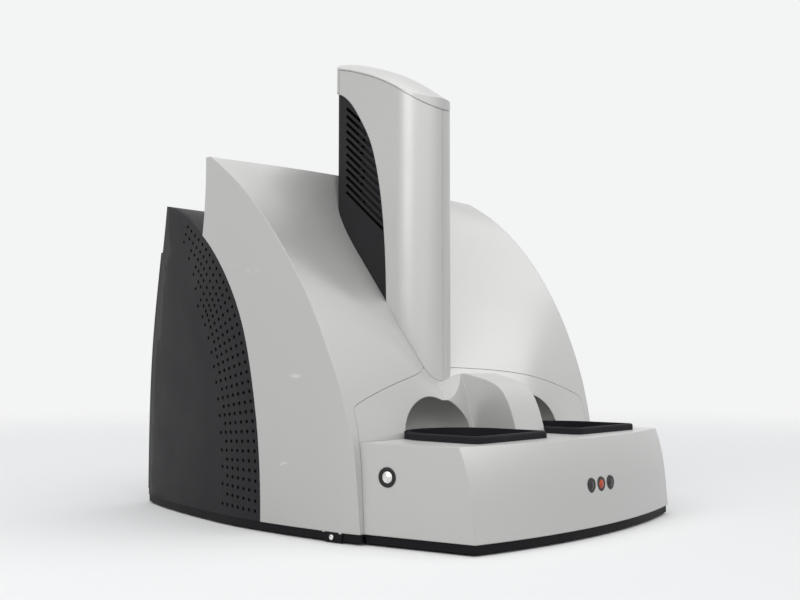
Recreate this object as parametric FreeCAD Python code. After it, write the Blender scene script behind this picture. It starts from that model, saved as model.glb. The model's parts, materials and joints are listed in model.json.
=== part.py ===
import FreeCAD, Part
import os
from math import atan2, cos, degrees, exp, pi, radians, sin, sqrt

# Microplate reader, millimetres, +Z up, front towards -Y, mirror plane X = 0, feet on Z = 0.

V = FreeCAD.Vector
os.makedirs("parts", exist_ok=True)

# General clearances and walls
gap = 0.3
fit = 0.05
cover_wall = 4.0
deep = 1000.0

# Base plate and feet
foot_height = 2.6
foot_r = 14.0
base_top = 12.6
base_sheet = 3.0
base_inset = 2.0
foot_places = [(185.0, -250.0), (150.0, 262.0)]

# Foot brackets at the edge of the base
bracket_y = -128.0
bracket_half = 14.0
bracket_low = 1.5
bracket_sheet = 1.5
bolt_r = 3.2
bolt_z = 6.8
bolt_head = 2.2

# Plan outline of the covers at the base: Y and half width, front to rear
outline = [(-168.0, 248.5), (-140.0, 253.2), (-105.0, 255.5), (-60.0, 257.4), (-15.0, 257.7),
           (33.0, 256.5), (143.0, 240.0), (264.0, 211.0), (345.0, 182.0)]
side_flare = 0.0445

# Saddle-shaped front of the covers: height, Y at the side creases, Y on the middle plane
# and the half width of the valley between them
saddle = [(-80.0, -172.0, -170.0, 75.0), (-40.0, -170.0, -168.0, 75.0), (0.0, -168.2, -166.2, 75.0),
          (40.0, -166.5, -164.5, 75.0), (80.0, -164.5, -162.5, 75.0),
          (113.0, -161.8, -159.5, 75.0), (135.0, -157.8, -153.0, 75.0), (150.0, -153.9, -142.0, 75.0),
          (165.0, -149.9, -116.0, 76.0), (181.0, -145.1, -85.5, 78.0), (205.0, -136.4, -63.8, 85.0),
          (230.0, -126.3, -50.4, 105.0), (258.0, -113.7, -33.9, 135.0), (286.0, -99.4, -17.5, 180.0),
          (313.0, -83.1, 1.2, 260.0), (340.0, -65.0, 20.8, 400.0), (390.0, -24.5, 56.9, 1000.0),
          (430.0, 17.5, 77.0, 1000.0), (455.0, 51.2, 83.0, 1000.0), (482.0, 97.0, 88.0, 1000.0),
          (520.0, 170.0, 92.0, 1000.0)]
saddle_half = 302.0
saddle_stations = 12
crown_half = 262.0
saddle_wall = 7.0
ridge_top = 482.0
ridge_crown = 9.0

# Arched seam between the silver cover and the dark housing: height and Y
arch = [(base_top, -7.0), (100.0, -7.5), (185.0, 2.0), (266.0, 22.5), (333.0, 63.0), (373.0, 106.0)]
arch_top = [(409.0, 166.0), (425.0, 215.0)]
cover_back = [(373.0, 106.0), (414.0, 97.0), (500.0, 91.0)]
rear_curve = [(425.0, 215.0), (365.0, 234.0), (225.0, 283.0), (106.0, 309.0), (base_top, 323.0)]
housing_inset = 1.5
panel_proud = 12.88
panel_top = 363.0
panel_bottom = 20.0
panel_wall = 3.0
panel_side = 3.0

# Deck with the two stack wells
deck_half = 216.5
deck_rear_half = 246.0
deck_top = 115.6
deck_wall = 3.5
deck_rear = -146.0
shelf_half = 200.0
shelf_rear = -85.0
deck_sections = [(base_top, -306.0, 29.0), (55.0, -302.0, 29.5), (90.0, -296.0, 30.5), (deck_top, -287.0, 32.0)]
well_x = 105.0
well_centre_y = -203.0
well_half = 66.5
rim_wall = 6.5
rim_height = 8.4
rim_front = -280.0
rim_corner = 5.0
rim_fillet = 3.0
liner_wall = 2.5
liner_bottom = 96.0
niche_x = 100.0
niche_y = -152.0
niche_r = 64.0
niche_rise = 48.6
niche_extra = 0.6

# Lower front cover with its hump between the niches
lower_half = 244.0
seam_mid = 200.6
seam_drop = 44.6
seam_corner = 12.0
hump_half = 31.0
hump = [(-84.0, 176.0), (-105.0, 178.5), (-120.0, 184.0), (-134.0, 191.0), (-143.0, 192.5), (-162.0, 189.5),
        (-181.0, 185.0), (-197.0, 179.0), (-206.0, 172.5), (-214.0, 162.0), (-221.0, 147.0),
        (-228.0, 124.0), (-230.0, deck_top)]
buttress = [(31.0, 195.0), (40.0, 181.0), (51.0, 168.9), (61.0, 163.0), (75.0, 158.0)]
buttress_rear = -100.0

# Tower
tower_r = 45.4
tower_nose_y = -40.5
tower_rear = 81.0
tower_rear_r = 10.0
tower_wall = 3.5
tower_bottom = 150.0
cap_seam = [(-90.0, 555.0), (-72.0, 566.5), (-46.0, 584.0), (-9.0, 604.5), (30.0, 620.5),
            (71.0, 633.0), (95.0, 637.0)]
cap_edge = 3.0
cap_lip = 0.5
cap_crown = 13.0
cap_skirt_y = 72.0
louvre_arc = [(600.0, 81.5), (591.0, 60.0), (556.0, 30.0), (521.0, 10.0), (484.0, -2.0), (448.0, -9.5),
              (389.0, -17.0), (286.0, -21.5), (200.0, -22.0)]
louvre_recess = 2.0
cap_skirt_z = louvre_arc[0][0] + gap
louvre_sheet = 3.0
slot_count = 12
slot_top_z = 575.0
slot_low_z = 452.5
slot_rear_y = 58.5
slot_margin = 3.0
slot_width = 4.5
slot_angle = 40.0
tower_hole_inset = 7.5

# Push buttons: flange radius, barrel radius, cap radius
button_flange = 2.0
barrel_length = 18.0
barrel_end = 3.0
cap_proud = 1.2
cap_length = 11.0
power_r = (11.0, 8.2, 7.0)
power_y = -197.4
power_z = 78.3
front_r = (8.4, 6.6, 5.5)
front_button_z = 61.0
front_button_pitch = 21.5
spot_face = 1.2

# Plate stage
plate_x = 127.76
plate_y = 85.48
nest_play = 1.0
tray_y = -229.0
tray_wall = 3.0
tray_z = 60.0
tray_floor = 3.0
tray_rise = 10.0
x_rail_half = 185.0
x_rail_y = (-215.0, -35.0)
x_rail_width = 12.0
x_rail_height = 10.0
block_half = 14.0
beam_x = 52.0
beam_half = 7.0
beam_low = 26.0
beam_high = 36.0
frame_front = -292.0
frame_rear = 66.0
tie = 12.0
y_rail_width = 8.0
y_rail_height = 8.0
y_block_half = 32.0
slide_top = 56.0
slide_sheet = 4.0
pin_r = 3.0
pin_x = 30.0
pin_dy = 22.0
pin_low = 26.4
boss_r = 6.5
boss_low = 40.0
x_screw_r = 4.0
x_screw_y = -80.0
x_screw_z = 19.0
x_bearing_x = 188.0
y_screw_r = 3.0
y_screw_z = 44.0
motor_x = 36.0
motor_y = 28.0

# Optics
optics_low = 176.0
optics_high = 182.0
optics_half = 205.0
optics_front = -70.0
optics_back = 128.0
post_r = 8.0
posts = [(188.0, -54.0), (188.0, 112.0)]
lens_r = 30.0
lens_top = 404.0
lens_bore = 26.0
camera_half = 32.0
camera_depth = 44.0
camera_drop = 36.0
fin_pitch = 9.0
wheel_y = 54.0
wheel_r = 80.0
wheel_low = 158.0
wheel_high = 166.0
filter_r = 22.0
filter_count = 6
shaft_r = 4.0

# Rear fittings
fan_half = 40.0
fan_front = 250.0
fan_depth = 25.0
fan_bore = 37.5
fan_hub = 16.0
fan_blades = 7
inlet_x = -125.0
inlet_z = 46.0
inlet_half = (24.0, 16.0)
inlet_rim = 7.0
inlet_depth = 17.0
pin_pitch = 7.0
inlet_front = 285.0
inlet_back = 333.5
port_x = 110.0
port_z = 44.0
port_half = (22.0, 10.0)
vent_slots = 8
vent_pitch = 8.0
vent_low = 26.0
vent_half = 34.0
vent_height = 4.0
supply_box = (-180.0, -90.0, 130.0, 250.0)
supply_height = 60.0
rib_count = 8
rib_pitch = 13.0
rib_depth = 2.0
board_box = (70.0, 190.0, 130.0, 250.0)
board_sheet = 1.6
board_stand = 8.0
board_edge = 6.0
stand_r = 3.0
# Parts on the board: X and Y from its corner, size along X, Y and Z
board_parts = [(20.0, 20.0, 30.0, 30.0, 4.0), (60.0, 20.0, 45.0, 15.0, 12.0),
               (20.0, 75.0, 20.0, 30.0, 9.0), (60.0, 65.0, 40.0, 30.0, 6.0)]


def box(x0, x1, y0, y1, z0, z1):
    return Part.makeBox(x1 - x0, y1 - y0, z1 - z0, V(x0, y0, z0))


def rod(radius, start, end):
    line = V(*end) - V(*start)
    return Part.makeCylinder(radius, line.Length, V(*start), line)


def mirror_x(shape):
    return shape.mirror(V(0, 0, 0), V(1, 0, 0))


def pair(shape):
    return Part.makeCompound([shape, mirror_x(shape)])


def level(table, value, column=1):
    rows = sorted(table)
    for low, high in zip(rows, rows[1:]):
        if value <= high[0]:
            share = (value - low[0]) / (high[0] - low[0])
            return low[column] + share * (high[column] - low[column])
    return rows[-1][column]


def spline(points):
    curve = Part.BSplineCurve()
    curve.interpolate([V(*p) for p in points])
    return curve.toShape()


def lines(points):
    return [Part.makeLine(V(*a), V(*b)) for a, b in zip(points, points[1:])]


def side_region(curve_edges, corners):
    # A region drawn on the YZ plane, from spline edges closed by straight lines, as wide as the part
    wire = Part.Wire(Part.sortEdges(curve_edges + lines(corners))[0])
    face = Part.Face(wire)
    face.translate(V(-deep / 2, 0, 0))
    return face.extrude(V(deep, 0, 0))


def yz(rows, shift=0.0):
    return [(0.0, y + shift, z) for z, y in rows]


# Plan shapes

def outline_wire(z, inset):
    right = [(w - inset + side_flare * (z - base_top), y, z) for y, w in outline]
    left = [(-x, y, z) for x, y, z in right]
    return Part.Wire([spline(right), Part.makeLine(V(*right[-1]), V(*left[-1])),
                      spline(left[::-1]), Part.makeLine(V(*left[0]), V(*right[0]))])


def cover_block(inset, low, high):
    return Part.makeLoft([outline_wire(low, inset), outline_wire(high, inset)], True, True)


def flank_half(y):
    # Half width of the deck, which narrows from its rear to its front corners
    corner_y = deck_sections[0][1]
    share = (y - corner_y) / (deck_rear - corner_y)
    return deck_half + share * (deck_rear_half - deck_half)


def deck_wire(z, corner_y, sag, inset, rear):
    front = corner_y + inset
    near = flank_half(front) - inset
    far = flank_half(rear) - inset
    return Part.Wire([
        Part.Arc(V(-near, front, z), V(0, front - sag, z), V(near, front, z)).toShape(),
        Part.makeLine(V(near, front, z), V(far, rear, z)),
        Part.makeLine(V(far, rear, z), V(-far, rear, z)),
        Part.makeLine(V(-far, rear, z), V(-near, front, z))])


def deck_block(inset, rear, low, high):
    wires = [deck_wire(z, y, sag, inset, rear) for z, y, sag in deck_sections]
    body = Part.makeLoft(wires, True, False)
    return body.common(box(-deep, deep, -deep, rear, low, high))


def well_shape(centre_x, grow, low, high):
    # D-shaped plan: a straight front with round corners, straight flanks and a round rear
    half = well_half + grow
    corner = rim_corner + grow
    near = corner * (1 - sqrt(0.5))
    front = rim_front + rim_wall - grow
    left = centre_x - half
    right = centre_x + half
    wire = Part.Wire([
        Part.makeLine(V(left + corner, front, low), V(right - corner, front, low)),
        Part.Arc(V(right - corner, front, low), V(right - near, front + near, low),
                 V(right, front + corner, low)).toShape(),
        Part.makeLine(V(right, front + corner, low), V(right, well_centre_y, low)),
        Part.Arc(V(right, well_centre_y, low), V(centre_x, well_centre_y + half, low),
                 V(left, well_centre_y, low)).toShape(),
        Part.makeLine(V(left, well_centre_y, low), V(left, front + corner, low)),
        Part.Arc(V(left, front + corner, low), V(left + near, front + near, low),
                 V(left + corner, front, low)).toShape()])
    return Part.Face(wire).extrude(V(0, 0, high - low))


def niche_shape(side, grow):
    # The domed hollow behind a well, a quarter of an ellipse turned about an upright axis, and the room of the rim
    x = side * niche_x
    wide = niche_r + grow
    rise = niche_rise + grow
    low = deck_top - 1
    ellipse = Part.Ellipse(V(x + wide, niche_y, deck_top), V(x, niche_y, deck_top + rise), V(x, niche_y, deck_top))
    dome = Part.Arc(ellipse, 0, pi / 2).toShape()
    rest = lines([(x, niche_y, deck_top + rise), (x, niche_y, low), (x + wide, niche_y, low),
                  (x + wide, niche_y, deck_top)])
    profile = Part.Face(Part.Wire([dome] + rest))
    room = well_shape(side * well_x, rim_wall + niche_extra + grow, low, deck_top + rim_height + niche_extra + grow)
    return profile.revolve(V(x, niche_y, 0), V(0, 0, 1), 360).fuse(room)


def tower_block(inset, low, high):
    r = tower_r - inset
    rear = tower_rear - inset
    corner = max(tower_rear_r - inset, 1.0)
    flank = corner * (1 - sqrt(0.5))
    wire = Part.Wire([
        Part.Arc(V(-r, tower_nose_y, low), V(0, tower_nose_y - r, low), V(r, tower_nose_y, low)).toShape(),
        Part.makeLine(V(r, tower_nose_y, low), V(r, rear - corner, low)),
        Part.Arc(V(r, rear - corner, low), V(r - flank, rear - flank, low), V(r - corner, rear, low)).toShape(),
        Part.makeLine(V(r - corner, rear, low), V(corner - r, rear, low)),
        Part.Arc(V(corner - r, rear, low), V(flank - r, rear - flank, low), V(-r, rear - corner, low)).toShape(),
        Part.makeLine(V(-r, rear - corner, low), V(-r, tower_nose_y, low))])
    return Part.Face(wire).extrude(V(0, 0, high - low))


# Shared cutting solids

def valley(x, half):
    return (1 - (x / saddle_half) ** 2) * exp(-(x / half) ** 2)


def saddle_y(x, row, flat):
    z, crease_y, mid, half = row
    at_crease = valley(level(outline, crease_y) + side_flare * (z - base_top), half)
    edge = (crease_y - mid * at_crease) / (1 - at_crease)
    return edge if flat else edge + (mid - edge) * valley(x, half)


def saddle_solid(shift, reach, flat=False):
    # Everything from the saddle surface forwards, for a negative reach, or backwards
    stations = [saddle_half * k / saddle_stations for k in range(-saddle_stations, saddle_stations + 1)]
    grid = [[V(x, saddle_y(x, row, flat) + shift, row[0]) for row in saddle] for x in stations]
    surface = Part.BSplineSurface()
    surface.interpolate(grid)
    return surface.toShape().extrude(V(0, reach, 0))


def saddle_front(shift):
    return saddle_solid(shift, -deep)


def under_crown(drop):
    # Everything below the crowned ridge
    top = ridge_top - drop
    edge = top - ridge_crown
    arc = Part.Arc(V(-crown_half, 0, edge), V(0, 0, top), V(crown_half, 0, edge)).toShape()
    ends = [(crown_half, 0, edge), (deep, 0, edge), (deep, 0, -deep), (-deep, 0, -deep),
            (-deep, 0, edge), (-crown_half, 0, edge)]
    face = Part.Face(Part.Wire([arc] + lines(ends)))
    face.translate(V(0, -deep / 2, 0))
    return face.extrude(V(0, deep, 0))


def before_arch(shift, back_shift):
    # Everything in front of the arched seam and, above it, in front of the cover's back
    low = yz(arch, shift)
    high = yz(cover_back, back_shift)
    corners = [high[-1], (0.0, -deep, high[-1][2]), (0.0, -deep, low[0][2]), low[0]]
    return side_region([spline(low), spline(high)], corners)


def housing_region(shift):
    # Side profile of the dark housing, drawn in by shift
    front = yz(arch, gap + shift)
    top = [(0.0, y, z - shift) for z, y in arch_top]
    rear = [(0.0, y - shift, z) for z, y in rear_curve]
    top[-1] = (0.0, top[-1][1] - 2 * shift, top[-1][2] - shift)
    rear[0] = top[-1]
    return side_region([spline(front + top), spline(rear)], [rear[-1], front[0]])


def seam_region(drop):
    # Everything of the lower cover's window: under the crowned seam and between its flanks
    half = lower_half - drop
    mid = seam_mid - drop
    edge = mid - seam_drop
    arc = Part.Arc(V(-half, 0, edge), V(0, 0, mid), V(half, 0, edge)).toShape()
    ends = [(half, 0, edge), (half, 0, deck_top), (-half, 0, deck_top), (-half, 0, edge)]
    face = Part.Face(Part.Wire([arc] + lines(ends)))
    face.translate(V(0, -deep / 2, 0))
    region = face.extrude(V(0, deep, 0))
    corners = [e for e in region.Edges if abs(abs(e.CenterOfMass.x) - half) < fit
               and abs(e.CenterOfMass.z - edge) < fit]
    return region.makeFillet(seam_corner - drop, corners)


def louvre_region(shift):
    # Everything behind the louvre arc
    points = [(0.0, y + shift, z - shift) for z, y in louvre_arc]
    corners = [points[-1], (0.0, deep, points[-1][2]), (0.0, deep, points[0][2]), points[0]]
    return side_region([spline(points)], corners)


def under_cap(shift):
    points = [(0.0, y, z + shift) for y, z in cap_seam]
    corners = [points[-1], (0.0, points[-1][1], 0.0), (0.0, points[0][1], 0.0), points[0]]
    return side_region([spline(points)], corners)


# Base

def base_plate():
    rear = rear_curve[-1][1] - base_inset
    body = cover_block(base_inset, foot_height, base_top).common(box(-deep, deep, -deep, rear, 0, base_top))
    corner_y, sag = deck_sections[0][1:]
    under = Part.Face(deck_wire(foot_height, corner_y, sag, base_inset, deck_rear))
    plate = body.fuse(under.extrude(V(0, 0, base_top - foot_height))).removeSplitter()
    pocket_top = base_top - base_sheet
    inner = base_inset + base_sheet
    hollow = cover_block(inner, foot_height - 1, pocket_top).common(
        box(-deep, deep, -deep, rear - base_sheet, 0, base_top))
    under = Part.Face(deck_wire(foot_height - 1, corner_y, sag, inner, deck_rear))
    hollow = hollow.fuse(under.extrude(V(0, 0, pocket_top - foot_height + 1)))
    return plate.cut(hollow)


def feet():
    made = []
    for x, y in foot_places:
        pad = rod(foot_r, (x, y, 0), (x, y, foot_height / 2))
        stem = rod(foot_r * 0.6, (x, y, foot_height / 2), (x, y, base_top - base_sheet))
        made += [pad.fuse(stem), mirror_x(pad.fuse(stem))]
    return Part.makeCompound(made)


# Covers

def front_cover():
    high = ridge_top + 30
    outer = cover_block(0, base_top, high).cut(saddle_front(0)).common(before_arch(0, 0)).common(under_crown(0))
    inner = cover_block(cover_wall, base_top - 1, high).cut(saddle_front(saddle_wall))
    inner = inner.common(inner_arch()).common(under_crown(cover_wall))
    shell = outer.cut(inner).cut(seam_region(0).common(box(-deep, deep, -deep, 0, 0, deep)))
    shell = shell.cut(deck_block(-gap, deck_rear + gap, base_top, deck_top))
    shell = shell.cut(box(-shelf_half - gap, shelf_half + gap, -deep, shelf_rear + gap, 0, deck_top))
    return shell.cut(tower_block(tower_hole_inset, tower_bottom, ridge_top + 20))


def inner_arch():
    high = yz(cover_back, -cover_wall)
    corners = [high[-1], (0.0, -deep, high[-1][2]), (0.0, -deep, 0.0), (0.0, deep, 0.0),
               (0.0, deep, high[0][2]), high[0]]
    return side_region([spline(high)], corners)


def hump_block(inset, wide=hump_half):
    points = [(0.0, y + (inset if z < hump[2][1] else 0), z - inset) for y, z in hump]
    points[0] = (0.0, hump[0][0], hump[0][1] - inset)
    points[-1] = (0.0, points[-1][1], deck_top - (1 if inset else 0))
    low = (0.0, points[0][1], points[-1][2])
    wire = Part.Wire([spline(points)] + lines([points[-1], low, points[0]]))
    half = wide - inset
    face = Part.Face(wire)
    face.translate(V(-half, 0, 0))
    return face.extrude(V(2 * half, 0, 0))


def buttress_block(side):
    # Fills the valley beside the hump up to the plane of the flat lower face
    top = [(side * x, buttress_rear, z) for x, z in buttress]
    low = deck_top
    ends = [top[-1], (top[-1][0], buttress_rear, low), (top[0][0], buttress_rear, low), top[0]]
    face = Part.Face(Part.Wire([spline(top)] + lines(ends)))
    block = face.extrude(V(0, -deep, 0))
    return block.cut(saddle_solid(0, -deep, True)).common(hump_block(0, buttress[-1][0]))


def lower_cover():
    low = cover_block(0, deck_top, seam_mid).cut(saddle_front(0))
    low = low.common(box(-deep, deep, -deep, -70, 0, deep))
    outer = low.fuse(hump_block(0)).fuse(buttress_block(-1)).fuse(buttress_block(1)).common(seam_region(gap))
    inner = cover_block(cover_wall, deck_top - 1, seam_mid + 1).cut(saddle_front(saddle_wall))
    inner = inner.fuse(hump_block(cover_wall))
    for side in (-1, 1):
        outer = outer.cut(niche_shape(side, 0))
        inner = inner.cut(niche_shape(side, cover_wall))
    return outer.cut(inner).removeSplitter()


def rear_housing():
    high = ridge_top
    outer = cover_block(housing_inset, base_top, high).common(housing_region(0))
    inner = cover_block(housing_inset + cover_wall, base_top - 1, high)
    hollow = inner.common(housing_region(cover_wall))
    mouth = inner.common(box(-deep, deep, -20, arch[-2][1] - 10, base_top - 1, arch[-2][0] - 30))
    shell = outer.cut(hollow).cut(mouth.common(housing_region(0)))
    shell = shell.cut(box(-deep, deep, -deep, rear_curve[-1][1] - cover_wall - 2, base_top - 1, base_top + 0.01)
                      .common(inner))
    return shell.cut(vent_cutter()).cut(rear_hole(inlet_x, inlet_z, inlet_half)).cut(
        rear_hole(port_x, port_z, port_half))


def rear_hole(x, z, half):
    return box(x - half[0] - gap, x + half[0] + gap, inlet_front - 20, deep,
               z - half[1] - gap, z + half[1] + gap)


def vent_cutter():
    bars = []
    for k in range(vent_slots):
        z = vent_low + k * vent_pitch
        bars.append(box(-vent_half, vent_half, fan_front + fan_depth, deep, z, z + vent_height))
    return Part.makeCompound(bars)


def panel_region(shift):
    # Between the housing's rear and the same curve moved back
    inner = [(0.0, y, z) for z, y in rear_curve]
    outer = [(0.0, y + panel_proud - shift, z) for z, y in rear_curve]
    corners = lines([inner[0], outer[0]])
    return side_region([spline(inner), spline(outer)] + corners, [inner[-1], outer[-1]])


def rear_panel():
    outer = cover_block(housing_inset + panel_side, panel_bottom, panel_top).common(panel_region(0))
    inner = cover_block(housing_inset + panel_side + panel_wall, panel_bottom + panel_wall,
                        panel_top - panel_wall).common(panel_region(panel_wall))
    shell = outer.cut(inner).cut(vent_cutter())
    return shell.cut(rear_hole(inlet_x, inlet_z, inlet_half)).cut(rear_hole(port_x, port_z, port_half))


def deck_cover():
    shell = deck_block(0, deck_rear, base_top, deck_top).cut(
        deck_block(deck_wall, deck_rear + 1, base_top - 1, deck_top - deck_wall))
    shell = shell.fuse(box(-shelf_half, shelf_half, deck_rear - 1, shelf_rear, deck_top - deck_wall, deck_top))
    for side in (-1, 1):
        shell = shell.cut(well_shape(side * well_x, liner_wall + gap, deck_top - 20, deck_top + 1))
    flange, barrel, _ = power_r
    bore = rod(barrel + fit, (-deep, 0, 0), (deck_half / 2, 0, 0))
    shell = shell.cut(at_side(bore.fuse(rod(flange + gap, (-deep, 0, 0), (0, 0, 0)))))
    flange, barrel, _ = front_r
    for x in front_button_places():
        seat = front_face(x)
        shell = shell.cut(rod(barrel + fit, (x, -deep, front_button_z), (x, -deck_half, front_button_z)))
        shell = shell.cut(rod(flange + gap, (x, -deep, front_button_z), (x, seat, front_button_z)))
    return shell


def rim(side):
    x = side * well_x
    ring = well_shape(x, rim_wall, deck_top, deck_top + rim_height)
    edges = [e for e in ring.Edges if abs(e.CenterOfMass.z - deck_top - rim_height) < 0.01]
    ring = ring.makeFillet(rim_fillet, edges)
    return ring.cut(well_shape(x, 0, deck_top - 1, deck_top + rim_height + 1))


def liner(side):
    x = side * well_x
    wall = well_shape(x, liner_wall, liner_bottom, deck_top)
    return wall.cut(well_shape(x, 0, liner_bottom - 1, deck_top + 1))


# Buttons

def flank_angle():
    return degrees(atan2(deck_rear_half - deck_half, deck_rear - deck_sections[0][1]))


def front_button_places():
    return [-front_button_pitch, 0.0, front_button_pitch]


def front_face(x):
    low, high = deck_sections[1], deck_sections[2]
    share = (front_button_z - low[0]) / (high[0] - low[0])
    corner = low[1] + share * (high[1] - low[1])
    return corner - low[2] * (1 - (x / deck_half) ** 2) + spot_face


def bezel(sizes):
    # Along +X from the seat: the flange lies before it and the barrel behind
    flange, barrel, cap = sizes
    body = rod(flange, (-button_flange, 0, 0), (0, 0, 0)).fuse(rod(barrel, (0, 0, 0), (barrel_length, 0, 0)))
    return body.cut(rod(cap + gap, (-deep, 0, 0), (barrel_length - barrel_end, 0, 0)))


def button_cap(sizes):
    cap = sizes[2]
    body = rod(cap, (-button_flange - cap_proud, 0, 0), (cap_length, 0, 0))
    dome = Part.makeSphere(cap * 2.2, V(cap * 2.2 - button_flange - cap_proud, 0, 0))
    return body.common(dome.fuse(rod(cap, (0, 0, 0), (cap_length, 0, 0))))


def at_side(shape):
    turn = flank_angle()
    shape.rotate(V(0, 0, 0), V(0, 0, 1), turn)
    shape.translate(V(spot_face * cos(radians(turn)) - flank_half(power_y), power_y, power_z))
    return shape


def at_front(shape, x):
    shape.rotate(V(0, 0, 0), V(0, 0, 1), 90)
    shape.translate(V(x, front_face(x), front_button_z))
    return shape


# Tower

def tower_half(side):
    shell = tower_block(0, tower_bottom, ridge_top + 200).cut(tower_block(tower_wall, 0, ridge_top + 200))
    shell = shell.cut(saddle_solid(-fit, deep)).common(under_cap(0)).cut(louvre_region(0))
    shell = shell.cut(box(-deep, deep, cap_skirt_y - gap, deep, cap_skirt_z - gap, deep))
    near, far = (gap / 2, deep) if side > 0 else (-deep, -gap / 2)
    return shell.common(box(near, far, -deep, deep, 0, deep))


def tower_cap():
    half = tower_r + 10
    xs = [half * s / 3 for s in range(-3, 4)]
    grid = [[V(x, y, z + cap_edge + cap_crown * (1 - (x / tower_r) ** 2)) for y, z in cap_seam] for x in xs]
    surface = Part.BSplineSurface()
    surface.interpolate(grid)
    under_dome = surface.toShape().extrude(V(0, 0, -300))
    cap = tower_block(-cap_lip, ridge_top, ridge_top + 300).common(under_dome).cut(under_cap(gap))
    skirt = tower_block(-cap_lip, cap_skirt_z, ridge_top + 300).common(under_dome)
    skirt = skirt.common(box(-deep, deep, cap_skirt_y, deep, 0, deep)).cut(
        tower_block(tower_wall, 0, level(cap_seam, cap_skirt_y) - cover_wall))
    return cap.fuse(skirt).removeSplitter()


def louvre_panel(side):
    ring = tower_block(louvre_recess, tower_bottom, cap_skirt_z - gap).cut(
        tower_block(louvre_recess + louvre_sheet, 0, ridge_top + 200))
    panel = ring.cut(saddle_solid(-fit, deep)).common(louvre_region(gap))
    near, far = (0, deep) if side > 0 else (-deep, 0)
    panel = panel.common(box(near, far, -deep, deep, 0, deep))
    return panel.cut(slot_cutter())


def slot_cutter():
    bars = []
    for k in range(slot_count):
        z = slot_top_z + (slot_low_z - slot_top_z) * k / (slot_count - 1)
        length = slot_length(z)
        bar = box(-deep / 2, deep / 2, -length, 0, -slot_width / 2, slot_width / 2)
        bar.rotate(V(0, 0, 0), V(1, 0, 0), slot_angle)
        bar.translate(V(0, slot_rear_y, z))
        bars.append(bar)
    return Part.makeCompound(bars)


def slot_length(z):
    length = 0.0
    while True:
        y = slot_rear_y - length * cos(radians(slot_angle))
        height = z - length * sin(radians(slot_angle))
        if y < level(louvre_arc, height) + slot_margin:
            return max(length, slot_width)
        length += 1.0


# Optics

def optics_plate():
    plate = box(-optics_half, optics_half, optics_front, optics_back, optics_low, optics_high)
    plate = plate.cut(rod(lens_bore, (0, 0, 0), (0, 0, deep)))
    return plate.cut(rod(shaft_r + gap, (0, wheel_y, 0), (0, wheel_y, deep)))


def optics_posts():
    made = []
    for x, y in posts:
        post = rod(post_r, (x, y, base_top), (x, y, optics_low))
        made += [post, mirror_x(post)]
    return Part.makeCompound(made)


def lens_tube():
    tube = rod(lens_r, (0, 0, optics_high), (0, 0, lens_top))
    for k in range(4):
        z = optics_high + 20 + 14 * k
        ring = rod(lens_r + 1, (0, 0, z), (0, 0, z + 5)).cut(rod(lens_r - 1, (0, 0, z), (0, 0, z + 5)))
        tube = tube.cut(ring)
    return tube.cut(rod(lens_bore, (0, 0, 0), (0, 0, lens_top + 1)))


def camera_top():
    # Below the cap's seam over the front of the camera
    return level(cap_seam, -camera_depth) - camera_drop


def camera_body():
    body = box(-camera_half, camera_half, -camera_depth, camera_depth, lens_top, camera_top())
    count = int((camera_top() - lens_top - 40) / fin_pitch)
    for k in range(count):
        z = lens_top + 30 + k * fin_pitch
        body = body.cut(box(-deep, deep, camera_depth - 12, deep, z, z + fin_pitch / 2))
    return body


def filter_wheel():
    wheel = rod(wheel_r, (0, wheel_y, wheel_low), (0, wheel_y, wheel_high))
    for k in range(filter_count):
        turn = radians(270 + 360 * k / filter_count)
        centre = (wheel_y * cos(turn), wheel_y + wheel_y * sin(turn))
        wheel = wheel.cut(rod(filter_r, (*centre, wheel_low - 1), (*centre, wheel_high + 1)))
    return wheel.fuse(rod(shaft_r, (0, wheel_y, wheel_high), (0, wheel_y, optics_high + 6)))


def filter_discs():
    made = []
    for k in range(filter_count):
        turn = radians(270 + 360 * k / filter_count)
        centre = (wheel_y * cos(turn), wheel_y + wheel_y * sin(turn))
        made.append(rod(filter_r, (*centre, wheel_low + 2), (*centre, wheel_high - 2)))
    return Part.makeCompound(made)


def filter_motor():
    size = motor_y / 2
    body = box(-size, size, wheel_y - size + 6, wheel_y + size + 6, optics_high, optics_high + 34)
    return body.cut(rod(shaft_r + fit, (0, wheel_y, optics_high - 1), (0, wheel_y, optics_high + 8)))


# Plate stage

def x_rails():
    half = x_rail_width / 2
    top = base_top + x_rail_height
    rails = [box(-x_rail_half, x_rail_half, y - half, y + half, base_top, top) for y in x_rail_y]
    return Part.makeCompound(rails)


def x_bearings():
    half = x_screw_r + 5
    block = box(x_bearing_x, x_bearing_x + 10, x_screw_y - half, x_screw_y + half, base_top, x_screw_z + half)
    hole = rod(x_screw_r + fit, (-deep, x_screw_y, x_screw_z), (deep, x_screw_y, x_screw_z))
    return pair(block.cut(hole))


def x_screw():
    return rod(x_screw_r, (-x_bearing_x - 8, x_screw_y, x_screw_z), (x_bearing_x + 18, x_screw_y, x_screw_z))


def x_motor():
    start = x_bearing_x + 10
    size = motor_x / 2
    body = box(start, start + motor_x, x_screw_y - size, x_screw_y + size, base_top, base_top + motor_x)
    end = x_bearing_x + 18 + gap
    hole = rod(x_screw_r + fit, (start - 1, x_screw_y, x_screw_z), (end, x_screw_y, x_screw_z))
    return body.cut(hole)


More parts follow.
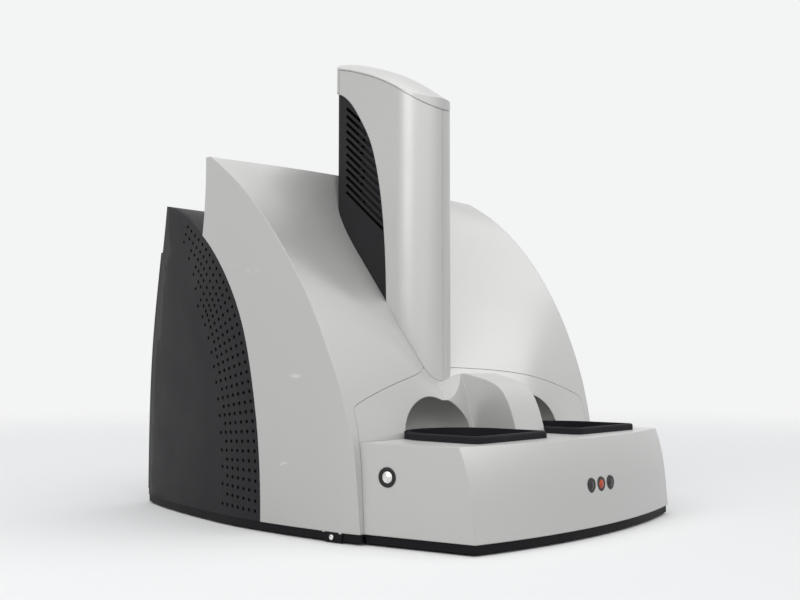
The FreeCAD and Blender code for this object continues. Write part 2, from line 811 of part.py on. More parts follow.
def x_carriage():
    body = None
    for side in (-1, 1):
        x = side * beam_x
        beam = box(x - beam_half, x + beam_half, frame_front, frame_rear, beam_low, beam_high)
        half = y_rail_width / 2
        rail = box(x - half, x + half, frame_front + 4, frame_rear - 4, beam_high, beam_high + y_rail_height)
        body = beam.fuse(rail) if body is None else body.fuse(beam).fuse(rail)
        for y in x_rail_y:
            body = body.fuse(box(x - 12, x + 12, y - block_half, y + block_half, base_top + 3, beam_low))
        half = x_screw_r + 4
        body = body.fuse(box(x - beam_half, x + beam_half, x_screw_y - half, x_screw_y + half,
                             x_screw_z - x_screw_r - 1.5, beam_low))
    for y in (frame_front, frame_rear - tie):
        body = body.fuse(box(-beam_x, beam_x, y, y + tie, beam_low, beam_high))
        half = y_screw_r + 5
        body = body.fuse(box(-half, half, y, y + tie, beam_high, y_screw_z + half))
    for y in x_rail_y:
        half = x_rail_width / 2 + gap
        body = body.cut(box(-deep, deep, y - half, y + half, 0, base_top + x_rail_height + gap))
    body = body.cut(rod(x_screw_r + gap, (-deep, x_screw_y, x_screw_z), (deep, x_screw_y, x_screw_z)))
    body = body.cut(rod(y_screw_r + fit, (0, frame_front + 3, y_screw_z), (0, deep, y_screw_z)))
    return body.removeSplitter()


def y_screw():
    return rod(y_screw_r, (0, frame_front + 3 + gap, y_screw_z), (0, frame_rear + 12, y_screw_z))


def y_drive():
    size = motor_y / 2
    body = box(-size, size, frame_rear, frame_rear + motor_y, y_screw_z - size, y_screw_z + size)
    return body.cut(rod(y_screw_r + fit, (0, frame_rear - 1, y_screw_z), (0, frame_rear + 12 + gap, y_screw_z)))


def y_carriage():
    low = slide_top - slide_sheet
    body = box(-beam_x - 10, beam_x + 10, tray_y - y_block_half, tray_y + y_block_half, low, slide_top)
    for side in (-1, 1):
        x = side * beam_x
        block = box(x - 9, x + 9, tray_y - y_block_half, tray_y + y_block_half, beam_high + 2, low)
        half = y_rail_width / 2 + gap
        block = block.cut(box(x - half, x + half, -deep, deep, 0, beam_high + y_rail_height + gap))
        body = body.fuse(block)
    nut = box(-7, 7, tray_y - 8, tray_y + 8, y_screw_z - 7, low)
    body = body.fuse(nut)
    for x, y in pin_places():
        body = body.fuse(rod(boss_r, (x, y, boss_low), (x, y, low)))
    for x, y in pin_places():
        body = body.cut(rod(pin_r + fit, (x, y, 0), (x, y, deep)))
    body = body.cut(rod(y_screw_r + gap, (0, -deep, y_screw_z), (0, deep, y_screw_z)))
    return body.removeSplitter()


def pin_places():
    return [(sx * pin_x, tray_y + sy * pin_dy) for sx in (-1, 1) for sy in (-1, 1)]


def plate_tray():
    half_x = plate_x / 2 + nest_play
    half_y = plate_y / 2 + nest_play
    top = tray_z + tray_rise
    out_x = half_x + tray_wall
    out_y = half_y + tray_wall
    tray = box(-out_x, out_x, tray_y - out_y, tray_y + out_y, tray_z, top)
    tray = tray.cut(box(-half_x, half_x, tray_y - half_y, tray_y + half_y, tray_z + tray_floor, top + 1))
    tray = tray.cut(box(-20, 20, tray_y - half_y + 12, tray_y + half_y - 12, 0, top))
    for side in (-1, 1):
        tray = tray.cut(box(side * half_x - 8, side * half_x + 8, tray_y - 14, tray_y + 14,
                            tray_z + tray_floor, top + 1))
    for x, y in pin_places():
        tray = tray.fuse(rod(pin_r, (x, y, pin_low), (x, y, tray_z)))
    return tray.removeSplitter()


# Electrics

def fan_frame():
    frame = box(-fan_half, fan_half, fan_front, fan_front + fan_depth, base_top, base_top + 2 * fan_half)
    z = base_top + fan_half
    frame = frame.cut(rod(fan_bore, (0, fan_front - 1, z), (0, fan_front + fan_depth + 1, z)))
    arm = box(-fan_bore - 1, fan_bore + 1, fan_front, fan_front + 2.5, z - 2.5, z + 2.5)
    frame = frame.fuse(arm).fuse(rod(fan_hub, (0, fan_front, z), (0, fan_front + 2.5, z)))
    return frame.fuse(rod(2.0, (0, fan_front, z), (0, fan_front + fan_depth - 6, z))).removeSplitter()


def fan_rotor():
    z = base_top + fan_half
    start = fan_front + 2.5 + gap
    hub = rod(fan_hub, (0, start, z), (0, fan_front + fan_depth - 1, z))
    for k in range(fan_blades):
        blade = box(fan_hub - 2, fan_bore - 1.5, start + 3, start + 5, -9, 9)
        blade.rotate(V(0, start + 4, 0), V(1, 0, 0), 32)
        blade.translate(V(0, 0, z))
        blade.rotate(V(0, 0, z), V(0, 1, 0), 360 * k / fan_blades)
        hub = hub.fuse(blade)
    ring = rod(fan_bore - 1.0, (0, start, z), (0, fan_front + fan_depth - 1, z))
    hub = hub.common(ring)
    return hub.cut(rod(2.0 + fit, (0, start - 1, z), (0, fan_front + fan_depth - 5.5, z)))


def mains_inlet():
    hx, hz = inlet_half
    body = box(inlet_x - hx, inlet_x + hx, inlet_front, inlet_back, inlet_z - hz, inlet_z + hz)
    hx -= inlet_rim
    hz -= inlet_rim
    body = body.cut(box(inlet_x - hx, inlet_x + hx, inlet_back - inlet_depth, deep, inlet_z - hz, inlet_z + hz))
    for dx in (-pin_pitch, 0, pin_pitch):
        z = inlet_z + (0 if dx else pin_pitch / 2)
        x = inlet_x + dx
        body = body.fuse(box(x - 1, x + 1, inlet_back - inlet_depth, inlet_back - inlet_rim, z - 2, z + 2))
    return body


def data_ports():
    hx, hz = port_half
    body = box(port_x - hx, port_x + hx, inlet_front, inlet_back, port_z - hz, port_z + hz)
    body = body.cut(box(port_x - hx + 3, port_x - 5, inlet_back - 8, deep, port_z - 5, port_z + 5))
    return body.cut(box(port_x + 2, port_x + hx - 3, inlet_back - 10, deep, port_z - 6, port_z + 6))


def power_supply():
    x0, x1, y0, y1 = supply_box
    body = box(x0, x1, y0, y1, base_top, base_top + supply_height)
    for k in range(rib_count):
        y = y0 + rib_pitch * (k + 1)
        body = body.cut(box(x0 - gap, x0 + rib_depth, y, y + rib_pitch / 2, base_top + rib_pitch,
                            base_top + supply_height - rib_pitch))
    return body


def control_board():
    x0, x1, y0, y1 = board_box
    top = base_top + board_stand + board_sheet
    board = box(x0, x1, y0, y1, top - board_sheet, top)
    for x in (x0 + board_edge, x1 - board_edge):
        for y in (y0 + board_edge, y1 - board_edge):
            board = board.fuse(rod(stand_r, (x, y, base_top), (x, y, top - board_sheet)))
    for dx, dy, wide, long, high in board_parts:
        board = board.fuse(box(x0 + dx, x0 + dx + wide, y0 + dy, y0 + dy + long, top, top + high))
    return board.removeSplitter()


# Brackets below the covers

def foot_brackets():
    # Plates that follow the edge of the base
    outer = cover_block(base_inset - bracket_sheet, bracket_low, base_top)
    plates = outer.cut(cover_block(base_inset - fit, 0, base_top + gap))
    return plates.common(box(-deep, deep, bracket_y - bracket_half, bracket_y + bracket_half, 0, base_top))


def bracket_bolts():
    start = level(outline, bracket_y) - base_inset + bracket_sheet + gap
    return pair(rod(bolt_r, (start, bracket_y, bolt_z), (start + bolt_head, bracket_y, bolt_z)))


def export(name, shape):
    shape.exportStep("parts/" + name + ".step")
    print(name, len(shape.Solids), shape.isValid(), [round(v) for v in (
        shape.BoundBox.XMin, shape.BoundBox.XMax, shape.BoundBox.YMin, shape.BoundBox.YMax,
        shape.BoundBox.ZMin, shape.BoundBox.ZMax)])


def main():
    export("base_plate", base_plate())
    export("feet", feet())
    export("foot_brackets", foot_brackets())
    export("bracket_bolts", bracket_bolts())
    export("front_cover", front_cover())
    export("lower_cover", lower_cover())
    export("rear_housing", rear_housing())
    export("rear_panel", rear_panel())
    export("deck_cover", deck_cover())
    for name, side in (("left", -1), ("right", 1)):
        export("stack_rim_" + name, rim(side))
        export("well_liner_" + name, liner(side))
        export("tower_shell_" + name, tower_half(side))
        export("louvre_panel_" + name, louvre_panel(side))
    export("tower_cap", tower_cap())
    export("power_bezel", at_side(bezel(power_r)))
    export("power_button", at_side(button_cap(power_r)))
    places = front_button_places()
    export("front_bezels", Part.makeCompound([at_front(bezel(front_r), x) for x in places]))
    for name, x in zip(("load_button", "stop_button", "start_button"), places):
        export(name, at_front(button_cap(front_r), x))
    export("optics_plate", optics_plate())
    export("optics_posts", optics_posts())
    export("lens_tube", lens_tube())
    export("camera_body", camera_body())
    export("filter_wheel", filter_wheel())
    export("filter_discs", filter_discs())
    export("filter_motor", filter_motor())
    export("x_rails", x_rails())
    export("x_bearings", x_bearings())
    export("x_screw", x_screw())
    export("x_motor", x_motor())
    export("x_carriage", x_carriage())
    export("y_screw", y_screw())
    export("y_motor", y_drive())
    export("y_carriage", y_carriage())
    export("plate_tray", plate_tray())
    export("fan_frame", fan_frame())
    export("fan_rotor", fan_rotor())
    export("mains_inlet", mains_inlet())
    export("data_ports", data_ports())
    export("power_supply", power_supply())
    export("control_board", control_board())


main()
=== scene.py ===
import json
import math

import bmesh
import bpy
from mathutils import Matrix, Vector

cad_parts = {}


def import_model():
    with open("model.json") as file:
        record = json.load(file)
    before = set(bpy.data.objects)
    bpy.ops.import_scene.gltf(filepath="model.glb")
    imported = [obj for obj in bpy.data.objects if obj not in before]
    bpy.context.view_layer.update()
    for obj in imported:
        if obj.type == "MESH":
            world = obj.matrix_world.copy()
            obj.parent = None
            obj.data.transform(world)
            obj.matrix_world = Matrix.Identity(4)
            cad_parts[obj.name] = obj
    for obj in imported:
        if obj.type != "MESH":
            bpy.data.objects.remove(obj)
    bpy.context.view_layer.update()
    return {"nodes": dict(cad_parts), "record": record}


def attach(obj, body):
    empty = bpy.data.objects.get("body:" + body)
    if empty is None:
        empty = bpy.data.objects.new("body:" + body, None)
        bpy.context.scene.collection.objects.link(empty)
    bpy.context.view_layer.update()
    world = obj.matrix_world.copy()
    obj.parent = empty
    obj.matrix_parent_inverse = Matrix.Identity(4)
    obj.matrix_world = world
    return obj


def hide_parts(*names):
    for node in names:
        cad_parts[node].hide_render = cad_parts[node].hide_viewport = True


# Microplate reader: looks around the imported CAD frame, in metres, +Z up, front towards -Y.

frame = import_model()
nodes = frame["nodes"]

MM = 0.001

# Camera, at the photograph's angle
CAMERA_PLACE = (-1.1025, -0.9863, 0.2061)
CAMERA_YAW = 48.38
CAMERA_PITCH = 3.478
LENS = 46.69
SENSOR = 36.0

# Light: the backdrop's colour, the fill from all round, the broad light from above and the lamp on the left
BACKDROP = (0.9, 0.905, 0.91)
FILL = 0.38
FILL_COLOUR = (0.9, 0.92, 0.95)
OVERHEAD = 2.15
OVERHEAD_SPREAD = 110.0
OVERHEAD_TURN = (24.0, -14.0)
LEFT_POWER = 13.0
LEFT_PLACE = (-2.2, -0.2, 1.3)
LEFT_AIM = (0.0, 0.0, 0.25)
LEFT_SIZE = 1.4

# Floor: its colour, what it throws back onto the part, and where it fades into the backdrop
FLOOR = (0.82, 0.82, 0.82)
FLOOR_BOUNCE = (0.3, 0.3, 0.3)
FLOOR_FADE = (1.2, 3.4)
FLOOR_SIZE = 30.0
FLOOR_GRID = 4
FLOOR_ROUGHNESS = 0.9
FLOOR_GLOSS = 0.1

# Meshing: angle of a sharp edge, steps round a turned piece and along a curve, weld distance, least length
SHARP = 35.0
TURNS = 96
CURVE_STEPS = 40
WELD = 0.000002
TINY = 1e-9

# Vent holes of the dark flank: their front column as (Y, Z), and the rows that run inwards from it
VENT_FRONT = [(4, 24), (1.7, 84), (7, 157), (22, 229.5), (48, 293), (77, 331), (103, 357), (150, 389)]
VENT_ROWS = 35
VENT_PITCH = 11.6
VENT_MOST = 7
VENT_TOP_ROW = 3
VENT_RADIUS = 2.5
VENT_SIDES = 12
VENT_FROM = 200.0
VENT_TO = 290.0

# Power button: radius, crown radius, its grooves' radii, depth and half width, its edge and its length
BUTTON_RADIUS = 6.95
BUTTON_CROWN = 15.4
BUTTON_RINGS = (2.6, 4.9)
GROOVE = 0.35
GROOVE_HALF = 0.3
BUTTON_EDGE = 0.4
BUTTON_LENGTH = 14.2
BUTTON_SHARP = 50.0

# Feet with a knurled edge
FOOT_RADIUS = 14.0
FOOT_HEIGHT = 9.6
KNURL_TEETH = 48
KNURL_DEPTH = 0.7
KNURL_LOW = 0.6
KNURL_STEPS = 4
FOOT_SHARP = 40.0

# Bolt with a round socket; the cover's light tabs beside it, as (Y, Z), and the share of each that shows
BOLT_RADIUS = 3.2
BOLT_SOCKET = 1.5
BOLT_DEPTH = 1.3
BOLT_EDGE = 0.5
BOLT_TURNS = 48
BOLT_SHARP = 30.0
TABS = ((-114.5, 12.3), (-141.5, 12.3))
TAB_SIZE = (2.4, 4.2, 1.6)
TAB_EDGE = 0.3
TAB_SHOWS = 0.25

# Scuffs in the paint of the flank: centre, and half sizes along Y and Z
SCUFFS = [((-256.0, 31.7, 331.3), (24.0, 7.0)), ((-256.0, -4.9, 320.3), (22.0, 5.0)),
          ((-256.0, -75.0, 190.7), (16.0, 4.0)), ((-256.0, -44.8, 203.8), (9.0, 9.0)),
          ((-256.0, -53.2, 84.2), (12.0, 7.0))]
SCUFF_LIGHT = (0.74, 0.74, 0.72)
SCUFF_GRAIN = 160.0
SCUFF_STRETCH = (1.0, 0.35, 1.6)
SCUFF_CUT = (0.5, 0.57)
SCUFF_FADE = (0.5, 1.0)

# Silver paint: colour, roughness, metallic share, clear coat, flakes, grain and softened edges
SILVER = (0.56, 0.56, 0.545)
SILVER_ROUGHNESS = 0.37
SILVER_METAL = 0.3
COAT = 0.2
COAT_ROUGHNESS = 0.3
FLAKE_SCALE = 2600.0
PEEL_SCALE = 700.0
PEEL_DEPTH = 0.00004
PEEL_EDGE = 0.0018

# Every finish: how many rays look for an edge to soften, and the sockets of a node that mixes two colours
BEVEL_SAMPLES = 4
MIX_SHARE = 0
MIX_FIRST = 6
MIX_SECOND = 7
MIX_COLOUR = 2

# Moulded plastics and rubber: colour, roughness, grain scale, grain depth, softened edge, gloss
MOULDED = {
    "dark_plastic": ((0.016, 0.015, 0.017), 0.6, 900.0, 0.00012, 0.0008, 0.2),
    "rim_plastic": ((0.009, 0.009, 0.011), 0.75, 1200.0, 0.0003, 0.001, 0.2),
    "base_black": ((0.006, 0.0055, 0.007), 0.6, 800.0, 0.0001, 0.0008, 0.15),
    "foot_rubber": ((0.008, 0.008, 0.008), 0.7, 600.0, 0.0002, 0.0008, 0.2),
    "fan_plastic": ((0.02, 0.02, 0.021), 0.45, 500.0, 0.0001, 0.0008, 0.3),
}

# Metals: colour, roughness, and how their brushed lines are stretched
METALS = {
    "bright_steel": ((0.72, 0.72, 0.7), 0.22, (1.0, 1.0, 12.0)),
    "machined": ((0.62, 0.63, 0.65), 0.32, (12.0, 1.0, 1.0)),
    "anodised_black": ((0.03, 0.03, 0.032), 0.4, (1.0, 1.0, 8.0)),
}

# Glossy plastic of the buttons and their bezels
LENSES = {
    "bezel_black": (0.01, 0.01, 0.01),
    "button_dark": (0.02, 0.022, 0.023),
    "button_red": (0.5, 0.07, 0.025),
}


# Materials

def colour_mix(tree, share):
    # Its two colours are set or linked by the caller
    mix = tree.nodes.new("ShaderNodeMix")
    mix.data_type = "RGBA"
    tree.links.new(share, mix.inputs[MIX_SHARE])
    return mix


class Shader:
    """A material with its Principled shader, and the few nodes that every finish here is made of."""

    def __init__(self, name, colour, roughness, metallic=0.0, gloss=0.5):
        self.material = bpy.data.materials.new(name)
        self.material.use_nodes = True
        self.tree = self.material.node_tree
        self.shader = self.tree.nodes["Principled BSDF"]
        self.shader.inputs["Base Color"].default_value = (*colour, 1.0)
        self.shader.inputs["Roughness"].default_value = roughness
        self.shader.inputs["Metallic"].default_value = metallic
        self.shader.inputs["Specular IOR Level"].default_value = gloss
        self.place = self.tree.nodes.new("ShaderNodeTexCoord").outputs["Object"]
        self.colour = colour
        self.roughness = roughness

    def link(self, source, target):
        self.tree.links.new(source, target)

    def stretched(self, scale):
        mapping = self.tree.nodes.new("ShaderNodeMapping")
        mapping.inputs["Scale"].default_value = scale
        self.link(self.place, mapping.inputs["Vector"])
        return mapping.outputs["Vector"]

    def noise(self, scale, detail=3.0, vector=None):
        texture = self.tree.nodes.new("ShaderNodeTexNoise")
        texture.inputs["Scale"].default_value = scale
        texture.inputs["Detail"].default_value = detail
        self.link(vector or self.place, texture.inputs["Vector"])
        return texture.outputs["Fac"]

    def spread(self, value, low, high, start=0.3, end=0.7):
        ranged = self.tree.nodes.new("ShaderNodeMapRange")
        ranged.inputs["From Min"].default_value = start
        ranged.inputs["From Max"].default_value = end
        ranged.inputs["To Min"].default_value = low
        ranged.inputs["To Max"].default_value = high
        self.link(value, ranged.inputs["Value"])
        return ranged.outputs["Result"]

    def math(self, operation, first, second):
        node = self.tree.nodes.new("ShaderNodeMath")
        node.operation = operation
        self.link(first, node.inputs[0])
        self.link(second, node.inputs[1])
        return node.outputs[0]

    def vary_roughness(self, value, amount):
        ranged = self.spread(value, self.roughness - amount, self.roughness + amount)
        self.link(ranged, self.shader.inputs["Roughness"])

    def vary_colour(self, value, amount):
        mix = colour_mix(self.tree, value)
        mix.inputs[MIX_FIRST].default_value = (*[c * (1 - amount) for c in self.colour], 1.0)
        mix.inputs[MIX_SECOND].default_value = (*[c * (1 + amount) for c in self.colour], 1.0)
        self.link(mix.outputs[MIX_COLOUR], self.shader.inputs["Base Color"])
        return mix

    def bump(self, height, depth, strength, edge=0.0):
        node = self.tree.nodes.new("ShaderNodeBump")
        node.inputs["Distance"].default_value = depth
        node.inputs["Strength"].default_value = strength
        self.link(height, node.inputs["Height"])
        if edge:
            bevel = self.tree.nodes.new("ShaderNodeBevel")
            bevel.samples = BEVEL_SAMPLES
            bevel.inputs["Radius"].default_value = edge
            self.link(bevel.outputs["Normal"], node.inputs["Normal"])
        self.link(node.outputs["Normal"], self.shader.inputs["Normal"])


def scuffed(made):
    # Where the paint is worn: fine streaks inside an oval round each scuff's centre
    grain = made.noise(SCUFF_GRAIN, detail=6.0, vector=made.stretched(SCUFF_STRETCH))
    streaks = made.spread(grain, 0.0, 1.0, *SCUFF_CUT)
    total = None
    for (x, y, z), (wide, high) in SCUFFS:
        away = made.tree.nodes.new("ShaderNodeVectorMath")
        away.operation = "DISTANCE"
        shrink = (1 / wide, 1 / wide, 1 / high)
        away.inputs[1].default_value = [c * k for c, k in zip((x, y, z), shrink)]
        made.link(made.stretched(tuple(k / MM for k in shrink)), away.inputs[0])
        near = made.spread(away.outputs["Value"], 1.0, 0.0, *SCUFF_FADE)
        total = made.math("MAXIMUM", total, near) if total else near
    return made.math("MULTIPLY", total, streaks)


def silver_paint():
    made = Shader("silver_paint", SILVER, SILVER_ROUGHNESS, SILVER_METAL)
    made.shader.inputs["Coat Weight"].default_value = COAT
    made.shader.inputs["Coat Roughness"].default_value = COAT_ROUGHNESS
    flakes = made.noise(FLAKE_SCALE, detail=1.0)
    paint = made.vary_colour(made.spread(flakes, low=0.2, high=0.8), amount=0.05)
    worn = colour_mix(made.tree, scuffed(made))
    worn.inputs[MIX_SECOND].default_value = (*SCUFF_LIGHT, 1.0)
    made.link(paint.outputs[MIX_COLOUR], worn.inputs[MIX_FIRST])
    made.link(worn.outputs[MIX_COLOUR], made.shader.inputs["Base Color"])
    made.vary_roughness(made.noise(scale=7.0, detail=4.0), amount=0.03)
    made.bump(made.noise(PEEL_SCALE, detail=2.0), PEEL_DEPTH, strength=0.25, edge=PEEL_EDGE)
    return made.material


def moulded(name, colour, roughness, grain, depth, edge, gloss):
    made = Shader(name, colour, roughness, gloss=gloss)
    made.vary_colour(made.noise(scale=30.0, detail=4.0), amount=0.1)
    made.vary_roughness(made.noise(scale=12.0, detail=4.0), amount=0.05)
    made.bump(made.noise(grain), depth, strength=0.5, edge=edge)
    return made.material


def metal(name, colour, roughness, stretch):
    made = Shader(name, colour, roughness, metallic=0.9)
    lines = made.noise(scale=400.0, vector=made.stretched(stretch))
    made.vary_colour(made.noise(scale=20.0, detail=2.0), amount=0.05)
    made.vary_roughness(lines, amount=0.07)
    made.bump(lines, depth=0.00003, strength=0.3, edge=0.0005)
    return made.material


def lens_plastic(name, colour):
    made = Shader(name, colour, roughness=0.25, gloss=0.3)
    made.shader.inputs["Coat Weight"].default_value = 0.15
    made.vary_colour(made.noise(scale=60.0), amount=0.12)
    made.vary_roughness(made.noise(scale=90.0), amount=0.04)
    made.bump(made.noise(scale=300.0, detail=2.0), depth=0.00003, strength=0.2, edge=0.0004)
    return made.material


def filter_glass():
    made = Shader("filter_glass", (0.35, 0.6, 0.5), roughness=0.05)
    made.shader.inputs["Transmission Weight"].default_value = 0.6
    made.vary_colour(made.noise(scale=25.0, detail=2.0), amount=0.06)
    made.vary_roughness(made.noise(scale=40.0, detail=2.0), amount=0.01)
    return made.material


def circuit_board():
    made = Shader("board_green", (0.02, 0.13, 0.06), roughness=0.35)
    tracks = made.noise(scale=220.0, detail=1.0, vector=made.stretched((1.0, 6.0, 1.0)))
    made.vary_colour(tracks, amount=0.35)
    made.vary_roughness(made.noise(scale=120.0), amount=0.06)
    crossing = made.noise(scale=220.0, detail=1.0, vector=made.stretched((6.0, 1.0, 1.0)))
    made.bump(crossing, depth=0.0001, strength=0.3)
    return made.material


def finishes():
    made = {"silver_paint": silver_paint(), "filter_glass": filter_glass(), "board_green": circuit_board()}
    for make, table in ((moulded, MOULDED), (metal, METALS)):
        for name, values in table.items():
            made[name] = make(name, *values)
    for name, colour in LENSES.items():
        made[name] = lens_plastic(name, colour)
    return made


def dress_nodes(looks):
    for row in frame["record"]["subparts"]:
        data = nodes[row["node"]].data
        data.materials.clear()
        data.materials.append(looks[row["material_slot"]])


# Pieces

def placed(name, data):
    made = bpy.data.objects.new(name, data)
    bpy.context.scene.collection.objects.link(made)
    return made


def finish_piece(name, mesh, body, looks, slot, sharp=SHARP):
    piece = placed(name, mesh)
    mesh.materials.clear()
    mesh.materials.append(looks[slot])
    mesh.polygons.foreach_set("use_smooth", [True] * len(mesh.polygons))
    mesh.set_sharp_from_angle(angle=math.radians(sharp))
    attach(piece, body)
    return piece


def node_points(node):
    return [nodes[node].matrix_world @ v.co for v in nodes[node].data.vertices]


def node_box(node):
    corners = node_points(node)
    low = Vector([min(c[k] for c in corners) for k in range(3)])
    high = Vector([max(c[k] for c in corners) for k in range(3)])
    return low, high


def turned(profile, count=TURNS):
    # A closed surface turned round the Z axis, from (radius, height) points in millimetres
    mesh = bmesh.new()
    rings = []
    for radius, height in profile:
        if radius == 0:
            rings.append([mesh.verts.new((0, 0, height * MM))])
        else:
            turns = [2 * math.pi * k / count for k in range(count)]
            rings.append([mesh.verts.new((radius * MM * math.cos(a), radius * MM * math.sin(a), height * MM))
                          for a in turns])
    for low, high in zip(rings, rings[1:]):
        for k in range(count):
            after = (k + 1) % count
            corners = [low[k % len(low)], low[after % len(low)],
                       high[after % len(high)], high[k % len(high)]]
            mesh.faces.new([c for i, c in enumerate(corners) if c not in corners[:i]])
    bmesh.ops.recalc_face_normals(mesh, faces=mesh.faces)
    return mesh


def finished(mesh, name, turn=None, place=None):
    if turn is not None:
        bmesh.ops.transform(mesh, matrix=turn, verts=mesh.verts)
    if place is not None:
        bmesh.ops.translate(mesh, vec=place, verts=mesh.verts)
    made = bpy.data.meshes.new(name)
    mesh.to_mesh(made)
    mesh.free()
    return made


def joined(parts, name):
    # One mesh of several, each of which is used up
    whole = bmesh.new()
    for part in parts:
        whole.from_mesh(part)
        bpy.data.meshes.remove(part)
    return finished(whole, name)


def aimed(direction):
    return Vector(direction).to_track_quat("Z", "Y").to_matrix().to_4x4()


def power_button(looks):
    # A turned cap: a crowned face with two grooves, facing away from the axis along which it is pressed
    joint = next(j for j in frame["record"]["behaviour"]["joints"] if j["child"] == "power_button")
    inward = Vector(joint["axis"])
    centre = sum(node_box("power_button"), Vector()) / 2
    tip = centre + inward * min((p - centre).dot(inward) for p in node_points("power_button"))

    def crown(radius):
        return BUTTON_CROWN - math.sqrt(BUTTON_CROWN ** 2 - radius ** 2)

    profile = [(0, 0)]
    for ring in BUTTON_RINGS:
        inner = ring - 2 * GROOVE_HALF
        outer = ring + 2 * GROOVE_HALF
        profile += [(inner, crown(inner)), (ring - GROOVE_HALF, crown(ring)), (ring, crown(ring) + GROOVE),
                    (ring + GROOVE_HALF, crown(ring)), (outer, crown(outer))]
    rim = BUTTON_RADIUS - BUTTON_EDGE
    profile += [(rim, crown(rim)), (BUTTON_RADIUS, crown(rim) + BUTTON_EDGE),
                (BUTTON_RADIUS, BUTTON_LENGTH), (0, BUTTON_LENGTH)]
    mesh = finished(turned(profile), "power_button_turned", aimed(inward), tip)
    piece = finish_piece("power_button_turned", mesh, "power_button", looks, "bright_steel", BUTTON_SHARP)
    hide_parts("power_button")


def knurled_foot(place):
    mesh = turned([(0, 0), (FOOT_RADIUS - KNURL_LOW, 0), (FOOT_RADIUS, KNURL_LOW),
                   (FOOT_RADIUS, FOOT_HEIGHT), (0, FOOT_HEIGHT)], KNURL_TEETH * KNURL_STEPS)
    for vertex in mesh.verts:
        if math.hypot(vertex.co.x, vertex.co.y) > 0:
            step = math.cos(KNURL_TEETH * math.atan2(vertex.co.y, vertex.co.x))
            share = 1 - KNURL_DEPTH / FOOT_RADIUS * (1 - step) / 2
            vertex.co.x *= share
            vertex.co.y *= share
    return finished(mesh, "foot", place=place)


def feet(looks):
    low, high = node_box("feet")
    radius = FOOT_RADIUS * MM
    rear_x = max(p.x for p in node_points("feet") if p.y > 0) - radius
    places = [(high.x - radius, low.y + radius), (rear_x, high.y - radius)]
    parts = [knurled_foot(Vector((side * x, y, 0))) for x, y in places for side in (-1, 1)]
    mesh = joined(parts, "feet_knurled")
    piece = finish_piece("feet_knurled", mesh, "base", looks, "foot_rubber", FOOT_SHARP)
    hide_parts("feet")


def socket_bolts(looks):
    low, high = node_box("bracket_bolts")
    middle = (low + high) / 2
    start = min(p.x for p in node_points("bracket_bolts") if p.x > 0) / MM
    head = high.x / MM - start
    profile = [(0, 0), (BOLT_RADIUS, 0), (BOLT_RADIUS, head - BOLT_EDGE), (BOLT_RADIUS - BOLT_EDGE, head),
               (BOLT_SOCKET, head), (BOLT_SOCKET, head - BOLT_DEPTH), (0, head - BOLT_DEPTH)]
    parts = [finished(turned(profile, BOLT_TURNS), "bolt", aimed((side, 0, 0)),
                      Vector((side * start * MM, middle.y, middle.z))) for side in (-1, 1)]
    mesh = joined(parts, "bracket_bolts_socket")
    piece = finish_piece("bracket_bolts_socket", mesh, "base", looks, "bright_steel", BOLT_SHARP)
    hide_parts("bracket_bolts")


def rounded_block(size, place, edge):
    mesh = bmesh.new()
    bmesh.ops.create_cube(mesh, size=1.0)
    bmesh.ops.scale(mesh, vec=Vector(size) * MM, verts=mesh.verts)
    bmesh.ops.bevel(mesh, geom=mesh.edges[:], offset=edge * MM, segments=2, affect="EDGES")
    return finished(mesh, "block", place=place)


def cover_tabs(looks):
    # Light clips of the silver cover, seen against the black edge of the base
    x = node_box("foot_brackets")[1].x - TAB_SIZE[0] * MM * (0.5 - TAB_SHOWS)
    parts = [rounded_block(TAB_SIZE, Vector((side * x, y * MM, z * MM)), TAB_EDGE)
             for y, z in TABS for side in (-1, 1)]
    finish_piece("cover_tabs", joined(parts, "cover_tabs"), "base", looks, "silver_paint")


def welded(node):
    # The node's mesh with its faces joined again along their edges
    mesh = bmesh.new()
    mesh.from_mesh(nodes[node].data)
    bmesh.ops.remove_doubles(mesh, verts=mesh.verts, dist=WELD)
    return finished(mesh, node)


def along(points, count):
    # Equally spaced points and their directions on a Catmull-Rom curve through the given ones
    fine = []
    padded = [points[0], *points, points[-1]]
    for a, b, c, d in zip(padded, padded[1:], padded[2:], padded[3:]):
        for k in range(CURVE_STEPS):
            t = k / CURVE_STEPS
            fine.append(0.5 * (2 * b + (c - a) * t + (2 * a - 5 * b + 4 * c - d) * t ** 2
                               + (3 * b - a - 3 * c + d) * t ** 3))
    fine.append(points[-1])
    reach = [0.0]
    for a, b in zip(fine, fine[1:]):
        reach.append(reach[-1] + (b - a).length)
    made = []
    index = 0
    for k in range(count):
        target = reach[-1] * k / (count - 1)
        while index < len(fine) - 2 and reach[index + 1] < target:
            index += 1
        share = (target - reach[index]) / max(reach[index + 1] - reach[index], TINY)
        made.append((fine[index].lerp(fine[index + 1], share), (fine[index + 1] - fine[index]).normalized()))
    return made


def vent_places():
    front = along([Vector((y * MM, z * MM)) for y, z in VENT_FRONT], VENT_ROWS)
    places = []
    for k, (place, direction) in enumerate(reversed(front)):
        inward = Vector((direction.y, -direction.x))
        count = min(VENT_MOST, VENT_TOP_ROW + k // 2) - k % 2
        places += [place + inward * VENT_PITCH * MM * step for step in range(count)]
    return places


